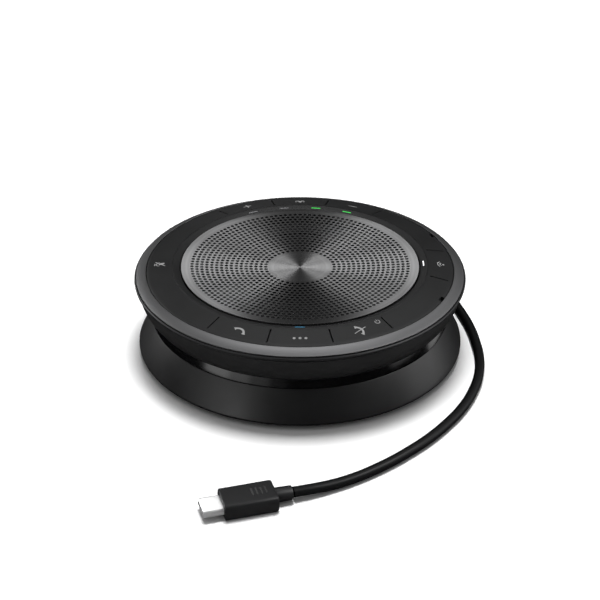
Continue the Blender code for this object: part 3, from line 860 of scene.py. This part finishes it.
def make_plug():
    length, width, height = PLUG_BODY
    half = length / 2
    body = []
    for along, shrink in ((-half, 0.42), (-half + 0.08, 0.2), (-half + 0.25, 0.04),
                          (-half + 0.6, 0.0), (half - 0.8, 0.0), (half - 0.45, 0.08),
                          (half - 0.15, 0.3), (half, 0.7)):
        body.append(plug_section(along, width - 2 * shrink, height - 2 * shrink, 1.3))
    plug = loft(body, "plug_body_shell", "plug_black", ("plug_body",))
    ribs = bmesh.new()
    for index in range(RIB_COUNT):
        x = RIB_START + RIB_PITCH * index
        low, high = x - RIB_HALF_WIDTH, x + RIB_HALF_WIDTH
        corners = rounded([(low, -RIB_HALF_LENGTH, 0.28), (high, -RIB_HALF_LENGTH, 0.28),
                           (high, RIB_HALF_LENGTH, 0.28), (low, RIB_HALF_LENGTH, 0.28)])
        face = ribs.faces.new([ribs.verts.new(placed((a, b, height / 2 - RIB_SUNK)))
                               for a, b in corners])
        raised = bmesh.ops.extrude_face_region(ribs, geom=[face])["geom"]
        bmesh.ops.translate(ribs, vec=(0.0, 0.0, RIB_HEIGHT * MM),
                            verts=[v for v in raised if isinstance(v, bmesh.types.BMVert)])
    grip = show("plug_grip_ribs", finished_mesh(ribs, "plug_grip_ribs"), "gloss_black", "base", ())
    shell_length, shell_width, shell_height = PLUG_SHELL
    back = -half - 0.02
    front = -half - 0.3 - shell_length
    wall = 0.32
    depth = front + shell_length * 0.8
    sections = [
        plug_section(back, shell_width, shell_height, 1.1),
        plug_section(front + 0.12, shell_width, shell_height, 1.1),
        plug_section(front, shell_width - 0.2, shell_height - 0.2, 1.15),
        plug_section(front + 0.08, shell_width - 2 * wall, shell_height - 2 * wall, 0.9),
        plug_section(depth, shell_width - 2 * wall, shell_height - 2 * wall, 0.9),
    ]
    # The plated shell is part diffuse white: painted reflection, over its own metal.
    shell = loft(sections, "plug_shell_plated", "plug_metal", ("plug_shell",))
    # The liner is an open sheet in the plug's mouth, in dark_recess: painted shade in the recess,
    # over the insert's own black.
    insert = loft([
        plug_section(front + 0.9, shell_width - 0.75, shell_height - 0.75, 0.8),
        plug_section(front + 0.9, shell_width - 1.9, 0.9, 0.3),
        plug_section(front + 3.0, shell_width - 1.9, 0.9, 0.3)],
        "plug_insert_liner", "dark_recess", ("plug_insert",), caps=False)
    relief = []
    end = PLUG_RELIEF_LENGTH
    for along, radius in ((-0.4, 2.5), (end - 0.1, 2.36), (end + 0.12, 2.28), (end + 0.28, 2.05),
                          (end + 0.3, 1.78)):
        relief.append([(half + along, y, z) for y, z in disc(0.0, 0.0, radius, 40)])
    boot = loft(relief, "plug_relief_boot", "plug_black", ("plug_relief",))
    return [plug, grip, shell, insert, boot]


def make_clip():
    """A springy clip over the coil, open underneath."""
    half = 5.9
    wall = 1.0
    top = 7.3
    outline = rounded([
        (-half - wall, 0.2, 0.2), (-half, 0.2, 0.2), (-half, top, 1.2), (half, top, 1.2),
        (half, 0.2, 0.2), (half + wall, 0.2, 0.2), (half + wall, top + wall, 2.0),
        (-half - wall, top + wall, 2.0)], 5)
    azimuth = radians(CLIP_AZIMUTH)
    radial = Vector((cos(azimuth), sin(azimuth), 0.0))
    along = Vector((-sin(azimuth), cos(azimuth), 0.0))
    centre = Vector((*COIL_CENTRE, 0.0)) + radial * CLIP_RADIUS
    bm = bmesh.new()
    rows = []
    for shift in (-3.0, 3.0):
        rows.append([bm.verts.new((centre + radial * x + Vector((0, 0, z)) + along * shift) * MM)
                     for x, z in outline])
    for i in range(len(outline)):
        j = (i + 1) % len(outline)
        bm.faces.new((rows[0][i], rows[0][j], rows[1][j], rows[1][i]))
    bm.faces.new(rows[0][::-1])
    bm.faces.new(rows[1])
    return show("coil_clip", finished_mesh(bm, "coil_clip"), "rubber_black", "base", ("cord_clip",))


def make_gland():
    """The cord's rubber boot: a root, a rippled length and a rounded mouth."""
    profile = [(0.0, 12.1), (1.85, 12.1), (1.98, 11.95)]
    for i in range(25):
        share = i / 24
        ripple = 0.1 * cos(2 * pi * share * 4)
        profile.append((1.99 + 0.06 * share + (ripple if share < 0.9 else 0.0), 11.6 - 8.6 * share))
    profile += [(2.13, 2.6), (2.13, 0.0), (0.0, 0.0)]
    bm = turned_bmesh(profile, False, 48)
    place = Matrix.Translation(Vector((GLAND_X, GLAND_START, GLAND_Z)) * MM)
    turn = Matrix.Rotation(-pi / 2, 4, "X")
    bmesh.ops.transform(bm, matrix=place @ turn, verts=bm.verts)
    show("gland_boot", finished_mesh(bm, "gland_boot"), "rubber_black", "base", ("cord_gland",))


def make_feet():
    for index in range(4):
        node = "foot_pad_%d" % (index + 1)
        low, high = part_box(node)
        middle = (low + high) / 2
        profile = rounded([(0.0, 2.1, 0.0), (7.0, 2.1, 0.2), (7.0, 0.0, 0.5), (5.6, 0.0, 0.15),
                           (5.3, 0.25, 0.15), (0.0, 0.25, 0.0)], 4, False)
        bm = turned_bmesh(profile, False, 64)
        bmesh.ops.translate(bm, vec=(middle.x, middle.y, 0.0), verts=bm.verts)
        show("foot_tread_%d" % (index + 1), finished_mesh(bm, node), "rubber_black", "base",
             (node,))


def paint_nodes():
    """Every solid of the frame gets the material of its slot, or matte black where none is made
    here.
    """
    slots = {entry["node"]: entry["material_slot"] for entry in frame["record"]["subparts"]}
    for name, item in frame["nodes"].items():
        look = slots[name] if slots[name] in LOOKS else "matte_black"
        item.data.materials.clear()
        item.data.materials.append(LOOKS[look])


# ---------------------------------------------------------------- stage

# Softboxes: azimuth and elevation in degrees, width and height in metres, and power in watts.
# STUDIO lights everything but the floor, the grille and the glossy neck band. Its powers began as
# the output of a program that fitted them to the photo, and were changed since.
STUDIO = [
    ("left_softbox", -149.0, 16.0, (0.42, 0.42), 0.54),
    ("left_low_strip", -132.0, 8.0, (0.15, 0.30), 0.60),
    ("left_top_softbox", -125.0, 45.0, (0.30, 0.30), 0.57),
    ("left_back_softbox", 150.0, 20.0, (0.35, 0.35), 2.6),
    ("right_softbox", 0.0, 12.0, (0.35, 0.35), 0.85),
    ("right_back_softbox", 30.0, 12.0, (0.40, 0.34), 0.25),
    ("right_low_strip", 15.0, 5.0, (0.15, 0.30), 0.20),
    ("right_top_softbox", -15.0, 45.0, (0.30, 0.30), 3.6),
    ("back_top_softbox", 50.0, 43.0, (0.35, 0.30), 0.20),
    ("back_strip", 96.0, 30.0, (0.08, 0.50), 0.10),
    ("top_softbox", 90.0, 72.0, (0.55, 0.30), 1.1),
]

# Lights of single pieces: the grille, the neck band and the plug's plated shell.
GRILLE_LIGHTS = [
    ("grille_top", 90.0, 80.0, (0.40, 0.30), 1.15),
    ("grille_right", 46.0, 53.0, (0.30, 0.30), 0.6),
    ("grille_left", 134.0, 53.0, (0.30, 0.30), 0.5),
]
NECK_LIGHTS = [
    ("neck_left_end", -150.0, 8.0, (0.28, 0.30), 0.14),
    ("neck_left_third", -142.5, 8.0, (0.49, 0.30), 0.17),
    ("neck_left_half", -135.0, 8.0, (0.70, 0.30), 0.14),
    ("neck_left_whole", -129.0, 8.0, (0.90, 0.30), 0.055),
    ("neck_right", -8.0, 6.0, (0.43, 0.16), 0.08),
]

# This one is below the table, which doesn't block it. It stands in for the pale table mirrored in
# the neck band.
NECK_LOW_LIGHTS = [
    ("neck_right_low", 26.0, -8.0, (0.34, 0.14), 0.14),
]

PLUG_LIGHTS = [
    ("plug_card", 92.0, 37.0, (0.90, 0.60), 2.2),
]

# Lights of the floor alone: place and size in metres, and power in watts.
TABLE_LIGHTS = [
    ("table_key", (0.015, 0.15, 1.0), (0.32, 0.32), 13.0),
    ("table_fill", (0.0, 0.0, 1.0), (5.0, 5.0), 29.0),
]


def area_light(name, place, aim, size, energy):
    data = bpy.data.lights.new(name, "AREA")
    data.shape = "RECTANGLE"
    data.size, data.size_y = size
    data.energy = energy
    light = bpy.data.objects.new(name, data)
    bpy.context.scene.collection.objects.link(light)
    light.location = place
    light.rotation_euler = (Vector(aim) - Vector(place)).to_track_quat("-Z", "Y").to_euler()
    return light


def linked(name, pieces, state):
    """A collection that a light shines on alone, or on everything but it."""
    group = bpy.data.collections.new(name)
    for piece in pieces:
        group.objects.link(piece)
    for entry in group.collection_objects:
        entry.light_linking.link_state = state
    return group


def softboxes(rows, lit, shading=None):
    """Lights round the body, turned to its middle, that shine on a collection's pieces and are
    blocked by another's, or by everything."""
    for name, azimuth, elevation, size, energy in rows:
        level = LIGHT_DISTANCE * cos(radians(elevation))
        place = (level * cos(radians(azimuth)), level * sin(radians(azimuth)),
                 LIGHT_DISTANCE * sin(radians(elevation)))
        box_light = area_light(name, place, BODY_MIDDLE, size, energy)
        box_light.light_linking.receiver_collection = lit
        box_light.light_linking.blocker_collection = shading


def make_stage(neck, grille, plug_shell):
    mesh = bpy.data.meshes.new("floor")
    bm = bmesh.new()
    bmesh.ops.create_grid(bm, x_segments=1, y_segments=1, size=FLOOR_HALF_SIZE)
    bm.to_mesh(mesh)
    bm.free()
    floor = bpy.data.objects.new("floor", mesh)
    bpy.context.scene.collection.objects.link(floor)
    material, _, _, shader = shader_of("floor_white", (0.9, 0.9, 0.9), 0.9)
    shader.inputs["Specular IOR Level"].default_value = 0.0
    mesh.materials.append(material)
    floor.visible_glossy = False

    only_floor = linked("floor_only", [floor], "INCLUDE")
    for name, place, size, energy in TABLE_LIGHTS:
        table_light = area_light(name, place, (0, 0, 0), size, energy)
        table_light.light_linking.receiver_collection = only_floor
    softboxes(STUDIO, linked("studio_lit", [floor, grille, neck], "EXCLUDE"))
    softboxes(GRILLE_LIGHTS, linked("grille_only", [grille], "INCLUDE"))
    softboxes(NECK_LIGHTS, linked("neck_only", [neck], "INCLUDE"))
    softboxes(NECK_LOW_LIGHTS, linked("neck_low_lit", [neck], "INCLUDE"),
              linked("all_but_floor", [floor], "EXCLUDE"))
    softboxes(PLUG_LIGHTS, linked("plug_shell_only", [plug_shell], "INCLUDE"))

    world = bpy.data.worlds.new("studio")
    bpy.context.scene.world = world
    world.use_nodes = True
    background = world.node_tree.nodes["Background"]
    background.inputs["Color"].default_value = (1.0, 1.0, 1.0, 1.0)
    background.inputs["Strength"].default_value = WORLD_STRENGTH
    bpy.context.scene.view_settings.view_transform = "Standard"
    bpy.context.scene.view_settings.look = "None"


make_camera()
paint_nodes()
lead, lead_length = make_lead()
clip = make_clip()
plug_pieces = make_plug()
make_gland()
neck_piece = make_shells()
make_bezel()
make_keys()
grille_piece = make_grille()
make_icons()
make_feet()
make_stage(neck_piece, grille_piece, plug_pieces[2])
